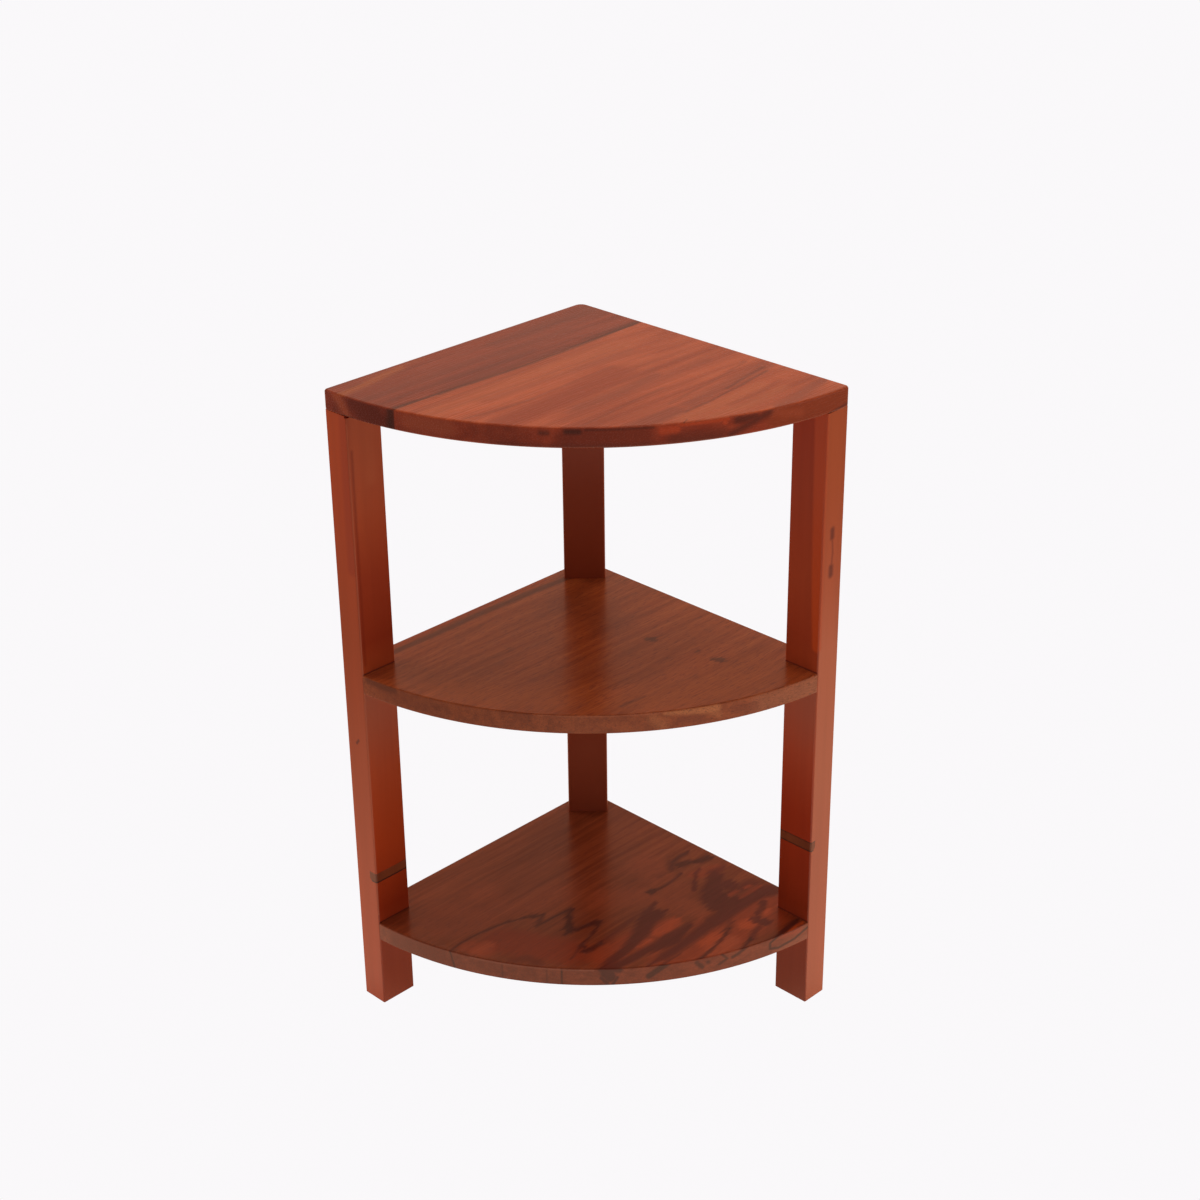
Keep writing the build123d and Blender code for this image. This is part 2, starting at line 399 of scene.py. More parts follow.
def uprightWood(name, look):
    # The grain stands upright, and the figure's points are (u, v, height)
    material, tree = newWood(name)
    point = planPoint(tree, 0.0)
    u, v, height = splitVector(tree, point)
    tone, grain = baseWood(tree, joinVector(tree, height, v, u), look)
    for axis, at, tones in look["faces"]:
        # One face has its own tones by height, partly wood and partly painted light and shade; the grain
        # still shows through
        off = mathNode(tree, "ABSOLUTE", mathNode(tree, "SUBTRACT", u if axis == "u" else v, at))
        banded = look["bandContrast"] * faceShade["banded"]
        shade = mathNode(tree, "MULTIPLY_ADD", grain.outputs["Bands"], banded, faceShade["plain"])
        faceToneAndShade = mixColour(tree, 1.0, tonesByHeight(tree, height, tones), shade, "MULTIPLY")
        tone = mixColour(tree, mapRange(tree, off, *faceMask, 1.0, 0.0), tone, faceToneAndShade)
    for strokeColour, strokes in look["figure"]:
        mask = drawStrokes(tree, point, strokes, lambda u, v, z: (u, v, z))
        tone = mixColour(tree, mask, tone, strokeColour)
    finishWood(tree, tone, grain, look)
    return material


baseLook = {
    "bandWidth": 14.0, "wander": 4.0, "pores": 0.5, "bandContrast": 0.7, "mottle": 0.3, "fibres": 0.05,
    "figure": [], "rimFigure": [], "faces": [], "ragged": (20.0, 4.0, 0.0), "rimColour": (1.0, 1.0, 1.0),
    "poreDepth": 0.25, "poreColour": (0.10, 0.02, 0.01), "rough": 0.26, "roughSpread": 0.03,
    "relief": 0.15,
}


def look(**changes):
    return {**baseLook, **changes}


# The top: a dark board and a light board, with a dark line along the glue between them. Points are (v, u)
glueLine = [
    ([(77, 292), (80, 200), (82, 150), (79, 60), (76, 5)], 1.6, 3.0, 0.8),
    ([(80, 245), (81, 100)], 0.8, 1.5, 0.85)]
topLeftLook = look(
    seed=(37.0, 11.0, 0.0), bandWidth=13.0, bandContrast=0.85, fibres=0.03,
    light=(0.35, 0.052, 0.022), dark=(0.17, 0.022, 0.011), tint=(0.26, 0.029, 0.010),
    rimColour=(0.70, 0.46, 0.36),
    figure=[
        ((0.29, 0.040, 0.017), [([(20, 280), (60, 240)], 14.0, 20.0, 0.5)]),
        ((0.30, 0.036, 0.012), [([(7, 220), (8, 40)], 5.0, 6.0, 0.6)]),
        ((0.42, 0.085, 0.022), [
            ([(22, 300), (18, 270), (12, 245), (9, 225)], 3.0, 5.0, 0.8),
            ([(8, 262), (6, 200)], 1.0, 4.0, 0.35)]),
        ((0.20, 0.036, 0.020), [
            ([(24, 130), (20, 60), (22, 10)], 6.0, 8.0, 0.55),
            ([(45, 290), (42, 180), (46, 60)], 4.0, 8.0, 0.4)]),
        ((0.18, 0.030, 0.018), [
            ([(60, 280), (61, 120)], 1.5, 4.0, 0.5), ([(14, 286), (14, 271)], 0.6, 1.5, 0.6)]),
        ((0.15, 0.024, 0.014), [
            ([(74, 290), (75, 268)], 2.0, 3.0, 0.5), ([(74, 240), (75, 90)], 2.5, 5.0, 0.4),
            ([(73, 68), (74, 5)], 2.5, 3.0, 0.5)]),
        ((0.09, 0.017, 0.011), glueLine),
    ],
    rimFigure=[
        ((0.115, 0.008, 0.003), [([(7.0, 608), (11.5, 594)], 9.0, 6.0, 0.85)]),
        ((0.37, 0.060, 0.018), [([(2.4, 609), (4.6, 594)], (4.0, 2.0), 6.0, 0.85)]),
        ((0.035, 0.006, 0.005), [([(13.3, 610), (13.3, 592)], 3.0, 5.0, 0.85)]),
        # A painted shadow in the small gap between the slab and the left leg's corner
        ((0.02, 0.005, 0.004), [([(3.8, 592.3), (5.8, 592.3)], 1.0, 1.2, 0.95)]),
    ])
topRightLook = look(
    seed=(310.0, 57.0, 40.0), bandWidth=18.0, bandContrast=0.85, fibres=0.03,
    light=(0.60, 0.107, 0.035), dark=(0.30, 0.037, 0.011), tint=(0.40, 0.050, 0.014),
    rimColour=(0.70, 0.47, 0.34),
    figure=[
        ((0.35, 0.043, 0.012), [
            ([(165, 250), (160, 170), (150, 110)], 13.0, 12.0, 0.75),
            ([(186, 210), (195, 150)], 10.0, 14.0, 0.4)]),
        ((0.30, 0.048, 0.020), [
            ([(185, 190), (186, 140), (180, 90)], 4.5, 7.0, 0.7), ([(187, 200), (186, 40)], 2.0, 8.0, 0.5),
            ([(118, 230), (122, 60)], 2.5, 7.0, 0.5), ([(187, 45), (187, 35)], 3.0, 4.0, 0.5)]),
        ((0.26, 0.044, 0.022), [
            ([(247, 190), (247, 140)], 8.0, 7.0, 0.6), ([(245, 120), (236, 60), (230, 10)], 6.0, 8.0, 0.55),
            ([(300, 75), (296, 40), (290, 8)], 4.0, 6.0, 0.6)]),
        ((0.52, 0.105, 0.034), [
            ([(262, 145), (262, 100), (258, 50)], 5.0, 7.0, 0.6),
            ([(275, 130), (280, 90), (275, 40)], 3.0, 6.0, 0.6),
            ([(105, 270), (104, 60)], 10.0, 12.0, 0.4)]),
        ((0.25, 0.036, 0.014), [
            ([(136, 265), (141, 235), (144, 200)], 0.9, 3.0, 0.6),
            ([(135, 268), (143, 200), (140, 150), (138, 100)], 0.5, 3.0, 0.45),
            ([(92, 285), (92, 120)], 0.5, 2.5, 0.35), ([(110, 280), (112, 60)], 0.5, 2.5, 0.35),
            ([(215, 215), (208, 160), (204, 110)], 0.9, 3.0, 0.55),
            ([(232, 130), (222, 60), (212, 15)], 0.9, 3.0, 0.55),
            ([(270, 100), (268, 60), (262, 30)], 1.6, 4.0, 0.35)]),
        ((0.18, 0.027, 0.013), [
            ([(254, 135), (252, 100), (246, 60), (240, 20)], 0.9, 2.2, 0.7),
            ([(243, 75), (236, 40), (232, 15)], 0.9, 2.2, 0.7)]),
        ((0.09, 0.017, 0.011), glueLine),
        ((0.06, 0.012, 0.008), [([(270, 160), (266, 148)], 0.3, 0.6, 0.8)]),
    ],
    rimFigure=[
        ((0.38, 0.060, 0.019), [([(16.5, 602), (23.0, 602)], 5.0, 8.0, 0.8)]),
        ((0.19, 0.020, 0.005), [
            ([(29.0, 601), (34.0, 601)], 8.0, 9.0, 0.35), ([(42.0, 599), (52.0, 599)], 9.0, 8.0, 0.75)]),
        ((0.16, 0.020, 0.007), [([(57.0, 597), (64.5, 597)], 3.5, 6.0, 0.75)]),
        ((0.28, 0.036, 0.005), [([(74.0, 601), (87.0, 602)], 9.0, 8.0, 0.8)]),
        ((0.05, 0.009, 0.006), [
            ([(37.4, 605), (38.4, 605)], 1.2, 3.0, 0.7), ([(41.2, 606.5), (43.0, 606.5)], 1.6, 2.5, 0.85),
            ([(44.0, 608), (54.0, 608)], 0.5, 1.5, 0.6)]),
        ((0.52, 0.052, 0.007), [
            ([(55.3, 604.5), (57.4, 605)], 2.6, 3.0, 0.88), ([(58.0, 608), (65.5, 608)], 0.9, 1.5, 0.85),
            ([(65.0, 606)], 1.8, 2.0, 0.85)]),
        ((0.08, 0.011, 0.006), [
            ([(67.0, 606), (70.0, 606)], 2.6, 4.0, 0.8), ([(72.5, 608), (66.0, 595)], 2.2, 4.5, 0.8)]),
        ((0.11, 0.018, 0.011), [
            ([(84.0, 592.5), (88.0, 596)], 0.6, 1.5, 0.75),
            ([(30.0, 593.5), (64.0, 593.5)], 1.5, 4.0, 0.5)]),
        ((0.42, 0.062, 0.016), [([(73.5, 606), (78.0, 601)], 2.5, 5.0, 0.5)]),
    ])

# The middle shelf: plain brown with one dark streak near its left side
middleLook = look(
    seed=(620.0, 23.0, 9.0), bandWidth=7.0, bandContrast=0.8, pores=1.3, poreDepth=0.5, fibres=0.16,
    rough=0.2, light=(0.385, 0.074, 0.018), dark=(0.225, 0.038, 0.010), tint=(0.33, 0.053, 0.010),
    figure=[
        ((0.30, 0.036, 0.009), [([(3, 258), (4, 60)], 3.0, 4.0, 0.6)]),
        ((0.235, 0.043, 0.013), [([(62, 78), (112, 84)], 16.0, 20.0, 0.6)]),
        ((0.37, 0.068, 0.014), [
            ([(90, 262), (135, 245), (205, 185)], 14.0, 20.0, 0.6),
            ([(245, 160), (262, 100), (268, 45)], 20.0, 20.0, 0.65)]),
        ((0.32, 0.060, 0.016), [([(150, 160), (165, 135)], 10.0, 14.0, 0.5)]),
        ((0.42, 0.074, 0.016), [
            ([(222, 108), (220, 55)], 12.0, 14.0, 0.55), ([(203, 105), (206, 80)], 2.0, 4.0, 0.5),
            ([(210, 188), (210, 152)], 4.0, 6.0, 0.5), ([(236, 98), (234, 74)], 2.0, 4.0, 0.5)]),
        ((0.23, 0.042, 0.014), [
            ([(95, 230), (95, 140)], 2.0, 7.0, 0.4), ([(140, 225), (142, 150)], 1.2, 4.0, 0.4)]),
        ((0.115, 0.026, 0.012), [
            ([(12, 255), (13, 200), (12, 150), (14, 100), (16, 60), (17, 40)], 3.3, 3.5, 0.85),
            ([(160, 78), (163, 77)], 3.6, 2.5, 0.85), ([(228, 68), (235, 64)], (2.6, 3.0), 3.0, 0.85),
            ([(208, 68), (207, 63)], 1.2, 2.5, 0.6)]),
        ((0.12, 0.026, 0.011), [([(228, 185), (230, 160)], 1.0, 2.5, 0.6)]),
    ],
    rimFigure=[
        ((0.19, 0.034, 0.012), [([(9.0, 341), (20.0, 341)], 5.0, 8.0, 0.4)]),
        # A painted shadow of the left leg on the rim, near its upper edge
        ((0.12, 0.020, 0.006), [([(5.5, 347.5), (11.0, 347.5)], 2.5, 4.0, 0.75)]),
        ((0.42, 0.125, 0.055), [([(72.0, 341), (87.0, 341)], 7.0, 8.0, 0.55)]),
        ((0.24, 0.040, 0.013), [
            ([(58.5, 340.5), (61.5, 339)], 3.2, 4.0, 0.65), ([(67.5, 342), (71.0, 340)], 4.0, 3.5, 0.55)]),
        ((0.54, 0.155, 0.048), [
            ([(56.0, 348.5), (64.3, 346)], (1.0, 3.2), 3.5, 0.9),
            ([(63.5, 344), (64.8, 339)], (2.2, 1.4), 4.0, 0.55),
            ([(54.0, 344), (55.5, 337)], 3.0, 6.0, 0.45)]),
        # A painted highlight along the rim's eased upper edge
        ((0.52, 0.140, 0.060), [([(36.0, 349.6), (56.0, 349.6)], 0.5, 1.0, 0.6)]),
    ])

# The bottom shelf: a dark flame figure with thin black veins
veinLeft = [
    ([(112, 292), (107, 286), (104, 269), (105, 248), (108, 231), (111, 217), (116, 205),
      (120, 196)], 0.9, 2.7, 0.79),
    ([(120, 196), (126, 188), (130.5, 195), (135, 204)], (2.4, 0.7), 3.8, 0.79),
    ([(135, 204), (136, 181), (137.6, 167), (138.8, 162)], (0.7, 2.5), 3.0, 0.84),
    ([(138.8, 162), (143.6, 170), (150.7, 177), (156.7, 183), (161.4, 187)], (1.6, 4.2), 3.8, 0.86),
    ([(162, 186), (163.8, 197)], (2.5, 0.5), 2.7, 0.79), ([(158, 183), (156.5, 191)], (2.0, 0.4), 2.2, 0.74),
    ([(161.4, 187), (166, 181), (168.6, 167), (171.7, 159.5)], (1.4, 3.0), 3.0, 0.84),
    ([(171.7, 159.5), (177, 167), (181.7, 180), (185, 193), (188, 201)], 1.1, 3.0, 0.79),
    ([(188, 201), (191, 209.5), (194, 218)], 0.7, 3.0, 0.51), ([(186, 195), (195, 200)], 1.4, 3.0, 0.79),
    ([(195, 200), (197, 193), (196.4, 181)], (2.8, 1.3), 3.0, 0.82)]
veinSoft = [([(196.4, 181), (194.8, 167), (193, 152), (191, 138), (189, 124)], 1.5, 5.2, 0.56)]
flameTop = [
    ([(226, 221), (242, 212)], (5.0, 3.0), 5.2, 0.86), ([(229, 214), (230.5, 198)], (6.0, 4.0), 4.5, 0.86),
    ([(228, 214), (223, 193), (221, 176), (217, 159.5)], (4.0, 5.0), 4.5, 0.88),
    ([(217, 159.5), (211, 143), (202, 126), (199.5, 117)], (5.0, 10.0), 5.2, 0.88),
    ([(193, 115), (187.6, 99)], (3.5, 0.8), 3.0, 0.86), ([(203, 114), (204, 102)], (4.0, 0.8), 3.0, 0.86),
    ([(230.5, 198), (233, 181), (234, 164)], 4.0, 3.8, 0.88),
    ([(234, 164), (237.6, 148), (239, 133)], (4.0, 9.0), 4.5, 0.88),
    ([(239, 133), (237.6, 119), (235.7, 105)], (9.0, 2.5), 4.5, 0.88)]
longStreak = [
    ([(251, 176), (252, 157)], (0.8, 4.0), 3.0, 0.79), ([(259, 176), (260, 145)], 0.8, 2.2, 0.74),
    ([(252, 157), (252, 138), (250.7, 119), (249.5, 100), (248, 86)], (4.0, 6.5), 5.2, 0.86),
    ([(248, 86), (246.5, 60), (246, 38), (248, 19), (254, 5)], 8.0, 5.2, 0.87),
    ([(258, 188), (263, 181)], 3.5, 6.0, 0.56)]
frontDark = [
    ([(223, 55)], 13.0, 6.0, 0.88), ([(233, 64)], 9.5, 6.0, 0.88),
    ([(214, 48), (207, 38), (197, 26)], (9.0, 6.5), 5.2, 0.88),
    ([(195, 24), (195, 11)], (5.5, 1.5), 6.0, 0.74), ([(218.6, 31)], 8.5, 5.2, 0.86),
    ([(239, 66), (240, 46)], 7.0, 6.0, 0.86), ([(228, 40), (232, 12)], 5.0, 7.5, 0.7),
    ([(199.5, 59.5), (192, 50), (186, 44), (182, 38), (180, 28.6)], (2.0, 1.0), 2.7, 0.82)]
leftCluster = [
    ([(173, 91), (173, 87)], 3.0, 2.7, 0.82),
    ([(173.5, 87), (174.5, 79), (174.5, 62), (172, 48)], 1.1, 2.7, 0.79),
    ([(161, 68), (161, 56)], 0.7, 3.8, 0.37), ([(153, 39), (161, 49)], 3.0, 6.0, 0.7),
    ([(161, 38), (165, 26)], (4.5, 2.8), 3.8, 0.82),
    ([(165, 26), (171, 19), (173, 9.5)], (2.8, 4.2), 3.8, 0.84),
    ([(153, 38), (151, 26), (152, 17)], 1.7, 3.3, 0.79)]
rightLines = [
    ([(279, 148), (278, 133), (276, 119), (273, 105), (270, 93), (265, 83)], 1.3, 2.7, 0.82),
    ([(268, 90), (260, 74)], (2.8, 1.2), 4.5, 0.56),
    ([(298, 131), (299, 119), (297, 105), (293.6, 93), (291, 81)], 1.2, 2.7, 0.79),
    ([(291, 81), (286, 71), (284, 62)], (2.8, 1.3), 3.8, 0.79), ([(285, 146), (286, 133)], 2.2, 3.0, 0.79),
    ([(290, 140), (296, 131)], 1.8, 3.0, 0.74), ([(274, 57), (283, 53)], 5.0, 3.8, 0.84),
    ([(268.6, 48), (266, 38), (260, 29)], 2.8, 3.3, 0.82)]
ringNearLeg = [
    ([(312.6, 84.5), (308, 79), (305.5, 57)], (0.9, 1.8), 2.2, 0.82),
    ([(305.5, 57), (303, 43), (303, 33)], (2.2, 3.2), 2.7, 0.86),
    ([(312.6, 84.5), (316, 60), (313, 45), (311, 33)], 1.0, 2.2, 0.79)]
bottomLook = look(
    seed=(920.0, 83.0, 29.0), bandWidth=7.0, bandContrast=0.8, pores=1.1, poreDepth=0.4, fibres=0.13,
    rough=0.2, light=(0.24, 0.043, 0.013), dark=(0.135, 0.022, 0.007), tint=(0.18, 0.027, 0.007),
    rimColour=(1.35, 1.3, 1.5),
    figure=[
        ((0.27, 0.045, 0.014), [
            ([(64, 258), (92, 236)], 20.0, 18.0, 0.85), ([(205, 83), (236, 83)], 9.0, 9.0, 0.8),
            ([(64, 200), (100, 215), (112, 150)], 12.0, 16.0, 0.5),
            ([(150, 130), (172, 100), (215, 88)], 12.0, 16.0, 0.7),
            ([(140, 60), (190, 75)], 14.0, 16.0, 0.6)]),
        ((0.225, 0.025, 0.007), [([(130, 240), (160, 225), (186, 212)], 16.0, 12.0, 0.85)]),
        ((0.29, 0.037, 0.010), [
            ([(215, 190), (222, 130)], 16.0, 12.0, 0.85), ([(262, 150), (270, 40)], 24.0, 14.0, 0.88),
            ([(184, 40), (190, 20)], 6.0, 6.0, 0.7), ([(112, 268), (128, 262)], 8.0, 8.0, 0.7)]),
        ((0.44, 0.056, 0.012), [
            ([(266, 115), (266, 103)], 6.0, 7.0, 0.75), ([(273, 69), (273, 64)], 6.0, 4.0, 0.8),
            ([(271, 41), (271, 38)], 4.5, 4.0, 0.75), ([(224, 160), (225, 150)], 2.5, 3.5, 0.8),
            ([(223, 134), (222, 110)], 5.0, 5.0, 0.8), ([(311, 69), (309, 33)], 3.0, 2.5, 0.9)]),
        ((0.38, 0.058, 0.018), [
            ([(282, 125), (280, 98)], 7.0, 7.0, 0.8), ([(124, 268), (124, 254)], 4.0, 6.0, 0.6)]),
        ((0.12, 0.016, 0.008), [ ([(159, 255), (164, 246), (171, 243), (180.5, 243)], 3.5, 5.0, 0.55)]),
        ((0.095, 0.012, 0.008), veinSoft + flameTop + longStreak + frontDark + rightLines[3:]),
        ((0.055, 0.009, 0.007), veinLeft + leftCluster + rightLines[:3] + ringNearLeg),
        ((0.27, 0.032, 0.009), [
            ([(230.5, 43), (230.5, 32)], 1.8, 2.0, 0.8), ([(233, 24), (233, 19)], 1.8, 2.0, 0.75),
            ([(240, 38), (240, 12)], 1.8, 2.5, 0.7)]),
    ],
    rimFigure=[
        ((0.19, 0.026, 0.009), [([(8.0, 81), (17.0, 81)], 8.0, 6.0, 0.7)]),
        ((0.36, 0.080, 0.035), [([(76.5, 76), (84.0, 76)], 2.5, 3.0, 0.7)]),
        ((0.40, 0.045, 0.012), [([(78.0, 90), (81.5, 88)], 3.0, 3.0, 0.75)]),
        ((0.05, 0.009, 0.007), [
            ([(19.2, 90.5), (20.0, 74)], 0.6, 1.2, 0.8), ([(28.7, 88), (28.7, 75)], 0.4, 1.2, 0.45),
            ([(36.3, 89), (36.3, 74)], 0.5, 1.2, 0.45), ([(38.8, 90.5), (38.8, 74)], 0.6, 1.2, 0.85),
            ([(56.5, 92), (53.3, 80)], 2.6, 2.0, 0.85), ([(61.5, 87), (62.5, 81)], 1.6, 2.2, 0.75),
            ([(63.5, 85)], 1.6, 2.2, 0.7), ([(66.0, 90), (67.0, 84), (65.5, 80)], 0.8, 1.5, 0.75),
            ([(71.0, 92), (69.0, 86), (68.0, 84)], 1.2, 2.0, 0.85),
            ([(81.5, 91), (77.0, 91), (75.3, 86), (75.3, 80), (77.0, 77.5), (80.5, 80),
              (83.5, 86)], 1.0, 1.5, 0.88)]),
        ((0.075, 0.011, 0.010), [
            ([(45.6, 90), (48.2, 90)], 3.5, 3.0, 0.88), ([(46.4, 86), (46.8, 82)], (6.0, 5.0), 2.5, 0.88),
            ([(45.4, 81), (46.3, 75)], 1.5, 1.5, 0.85), ([(48.0, 81), (47.3, 74)], 1.2, 1.5, 0.85)]),
        # A painted highlight along the rim's eased upper edge
        ((0.42, 0.120, 0.070), [([(23.0, 89.3), (44.0, 89.3)], 0.5, 1.2, 0.5)]),
    ])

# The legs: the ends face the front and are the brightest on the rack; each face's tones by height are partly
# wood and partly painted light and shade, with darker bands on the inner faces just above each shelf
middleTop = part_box("middle_shelf")[1][2] / mm
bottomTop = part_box("bottom_shelf")[1][2] / mm
legDepth = rack["legDepth"]


def contactLines(start, stop):
    # A dark line just over each shelf, where its top meets a leg between two points of the plan
    heights = (middleTop + 0.5, bottomTop + 0.5)
    return [([(*start, height), (*stop, height)], 0.7, 1.0, 0.85) for height in heights]


legLook = look(
    bandWidth=12.0, bandContrast=0.3, mottle=0.35, rough=0.27, wander=2.0, fibres=0.015, pores=0.0,
    relief=0.02, roughSpread=0.0,
    light=(0.44, 0.050, 0.011), dark=(0.36, 0.037, 0.008), tint=(0.40, 0.042, 0.008))
leftLegLook = {
    **legLook, "seed": (0.0, 140.0, 70.0),
    # Tones by height for the end and inner faces, partly wood and partly painted light and shade
    "faces": [
        ("u", leftLegEnd, [
            (0, (0.44, 0.040, 0.006)), (60, (0.46, 0.048, 0.008)), (180, (0.45, 0.056, 0.011)),
            (290, (0.42, 0.057, 0.011)), (380, (0.39, 0.049, 0.006)), (500, (0.44, 0.046, 0.004)),
            (592, (0.45, 0.050, 0.004))]),
        ("v", legDepth, [
            (0, (0.37, 0.044, 0.010)), (72, (0.42, 0.050, 0.013)), (105, (0.27, 0.022, 0.004)),
            (170, (0.42, 0.042, 0.006)), (250, (0.46, 0.056, 0.009)), (335, (0.40, 0.060, 0.014)),
            (380, (0.27, 0.026, 0.006)), (440, (0.33, 0.036, 0.009)), (500, (0.44, 0.064, 0.015)),
            (592, (0.50, 0.088, 0.022))]),
    ],
    "figure": [
        ((0.34, 0.030, 0.005), [ ([(leftLegEnd, 22.5, 590), (leftLegEnd, 21.5, 450)], 4.0, 4.0, 0.6)]),
        ((0.54, 0.100, 0.026), [([(278, 27, 590), (278, 27, 530)], 4.0, 6.0, 0.5)]),
        ((0.20, 0.016, 0.004), [([(297.5, 27, 560), (297.5, 27, 360)], 0.8, 2.0, 0.5)]),
        # A painted highlight along the leg's rounded front corner
        ((0.62, 0.130, 0.045), [([(300.6, 26.5, 585), (300.6, 26.5, 100)], 0.3, 0.7, 0.5)]),
        ((0.10, 0.016, 0.008), [
            ([(leftLegEnd, 12, 277), (leftLegEnd, 15, 281)], 0.9, 1.3, 0.8),
            *contactLines((leftLegEnd - rack["legWidth"], legDepth), (leftLegEnd - 1.5, legDepth))]),
    ],
}
rightLegLook = {
    **legLook, "seed": (0.0, 40.0, 270.0),
    # Tones by height for the end and inner faces, partly wood and partly painted light and shade
    "faces": [
        ("v", rightLegEnd, [
            (0, (0.47, 0.080, 0.026)), (60, (0.485, 0.086, 0.032)), (170, (0.455, 0.083, 0.030)),
            (250, (0.46, 0.092, 0.034)), (370, (0.49, 0.104, 0.040)), (440, (0.46, 0.080, 0.024)),
            (520, (0.42, 0.068, 0.014)), (592, (0.40, 0.064, 0.012))]),
        ("u", legDepth, [
            (0, (0.31, 0.041, 0.013)), (72, (0.36, 0.048, 0.016)), (105, (0.25, 0.024, 0.006)),
            (165, (0.33, 0.028, 0.006)), (200, (0.36, 0.028, 0.004)), (265, (0.46, 0.046, 0.007)),
            (335, (0.40, 0.056, 0.014)), (380, (0.34, 0.040, 0.012)), (440, (0.37, 0.048, 0.014)),
            (592, (0.35, 0.028, 0.003))]),
    ],
    "figure": [
        ((0.56, 0.066, 0.012), [
            ([(27, 305.5, 590), (27, 307, 440), (27, 309, 375)], (6.0, 3.5), 2.5, 0.85)]),
        ((0.15, 0.022, 0.012), [
            ([(14.5, rightLegEnd, 484), (14.5, rightLegEnd, 477)], 2.0, 2.8, 0.85),
            ([(14.5, rightLegEnd, 449), (14.5, rightLegEnd, 442)], 2.2, 3.0, 0.85),
            ([(14.5, rightLegEnd, 480), (13.0, rightLegEnd, 462), (14.5, rightLegEnd, 445)], 0.7, 1.8, 0.55),
            *contactLines((legDepth, rightLegEnd - rack["legWidth"]), (legDepth, rightLegEnd - 1.5))]),
    ],
}
backLegLook = {
    **legLook, "seed": (0.0, 340.0, 170.0), "bandContrast": 0.06, "fibres": 0.0,
    "light": (0.285, 0.044, 0.014), "dark": (0.24, 0.034, 0.011),
    "tint": (0.26, 0.040, 0.011),
    "figure": [((0.35, 0.072, 0.030), [([(29.3, 29.3, 100), (29.3, 29.3, 150)], 20.0, 30.0, 0.75)])],
}
fillerLook = look(
    seed=(0.0, 44.0, 7.0), light=(0.22, 0.046, 0.013), dark=(0.14, 0.026, 0.008),
    tint=(0.18, 0.036, 0.010), rough=0.32,
    figure=[((0.03, 0.008, 0.005), [
        ([(leftLegEnd, 4, 134.7), (leftLegEnd, 27, 134.7), (262, 27, 134.7)], 1.0, 0.8, 0.95),
        ([(4, rightLegEnd, 167.2), (27, rightLegEnd, 167.2), (27, 273, 167.2)], 0.8, 0.8, 0.9),
        ([(4, rightLegEnd, 176.8), (27, rightLegEnd, 176.8), (27, 273, 176.8)], 0.5, 0.8, 0.8)])])
dowelLook = look(
    seed=(0.0, 5.0, 3.0), light=(0.52, 0.36, 0.20), dark=(0.45, 0.30, 0.16),
    tint=(0.50, 0.34, 0.18), rough=0.6)

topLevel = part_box("top_right_board")[1][2] / mm
topLeftWood = panelWood("topLeftWood", topLeftLook, topLevel)
topRightWood = panelWood("topRightWood", topRightLook, topLevel)
middleWood = panelWood("middleWood", middleLook, middleTop)
bottomWood = panelWood("bottomWood", bottomLook, bottomTop)
leftLegWood = uprightWood("leftLegWood", leftLegLook)
rightLegWood = uprightWood("rightLegWood", rightLegLook)
backLegWood = uprightWood("backLegWood", backLegLook)
fillerWood = uprightWood("fillerWood", fillerLook)
dowelWood = uprightWood("dowelWood", dowelLook)
print("materials made")


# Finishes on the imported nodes
finishes = {"left_leg": leftLegWood, "right_leg": rightLegWood, "back_leg": backLegWood,
            "left_leg_filler": fillerWood, "right_leg_filler": fillerWood}
for name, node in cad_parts.items():
    node.data.materials.clear()
    node.data.materials.append(finishes.get(name, dowelWood))


# The panels, made by Geometry Nodes in plan coordinates and then turned into the rack's frame
panelShape = {
    "Left Side": rack["leftSide"] * mm,
    "Right Side": rack["rightSide"] * mm,
    "Arc Radius": rack["arcRadius"] * mm,
    "Arc Centre": (arcCentre[0] * mm, arcCentre[1] * mm, 0.0),
    "Arc Steps": 72,
    "Corner Radius": 8.0 * mm,
    "Left Tip Radius": 3.5 * mm,
    "Right Tip Radius": 5.0 * mm,
}
panels = {
    "topLeftPanel": {"node": "top_left_board", "slot": "top_dark_wood", "material": topLeftWood,
                     "ease": 2.0, "cuts": ["rightOfSeam"]},
    "topRightPanel": {"node": "top_right_board", "slot": "top_light_wood", "material": topRightWood,
                      "ease": 2.0, "cuts": ["leftOfSeam"]},
    "middlePanel": {"node": "middle_shelf", "slot": "middle_shelf_wood", "material": middleWood,
                    "ease": 1.2, "cuts": ["leftNotch", "rightNotch", "backNotch"]},
    "bottomPanel": {"node": "bottom_shelf", "slot": "bottom_shelf_wood", "material": bottomWood,
                    "ease": 1.2, "cuts": ["leftNotch", "rightNotch", "backNotch"]},
}
meshing = {
    "sameCorner": 0.01 * mm,
    "samePoint": 0.001 * mm,
    "nearCorner": 0.5 * mm,
    "roundingSteps": 9,
    "easeSteps": 5,
    "easeAngle": math.radians(50.0),
    "sharpAngle": math.radians(40.0),
}
seamAt = 79.0       # v of the glue line between the two boards of the top
reach = 700.0       # a cutting box runs this far, past the whole panel
notchStart = {"left": leftLegEnd - rack["legWidth"], "right": rightLegEnd - rack["legWidth"]}
